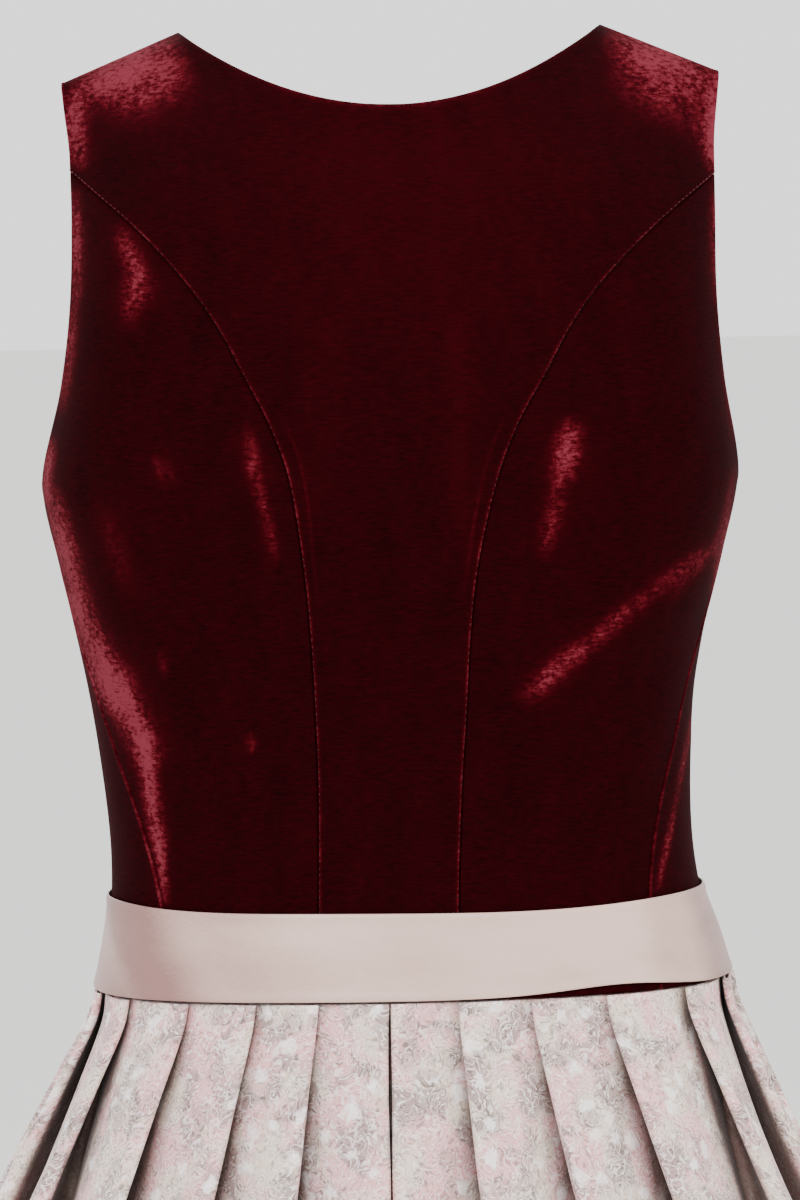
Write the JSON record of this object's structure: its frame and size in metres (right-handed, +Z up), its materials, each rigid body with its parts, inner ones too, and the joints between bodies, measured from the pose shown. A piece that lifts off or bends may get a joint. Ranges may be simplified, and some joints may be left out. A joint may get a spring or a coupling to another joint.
{
  "type": "dirndl dress",
  "caption": "Sleeveless dirndl dress in its worn shape: a fitted velvet bodice with curved back seams, a satin sash at the waist and a full pleated skirt",
  "frame": {"origin": "midway between the two shoulder ridges, where the wearer's shoulders carry the dress", "axes": "+Z up, the wearer faces -Y, +X is the wearer's left"},
  "size_m": [0.7026, 0.595, 1.0366],
  "materials": {
    "velvet": "wine-red pile velvet, deep in the nap and lighter where it is brushed",
    "satin": "beige-rose satin, soft sheen",
    "jacquard": "floral jacquard in beige, grey and pink with a silky figure",
    "button_metal": "dull old-silver colour"
  },
  "bodies": {
    "root": {"back_centre": "velvet", "back_side_left": "velvet", "back_side_right": "velvet", "front_side_left": "velvet", "front_side_right": "velvet", "front_left": "velvet", "front_right": "velvet", "sash": "satin", "button_1": "button_metal", "button_2": "button_metal", "button_3": "button_metal", "button_4": "button_metal", "button_5": "button_metal", "button_6": "button_metal", "skirt_back": "jacquard", "skirt_front": "jacquard"}
  },
  "joints": []
}
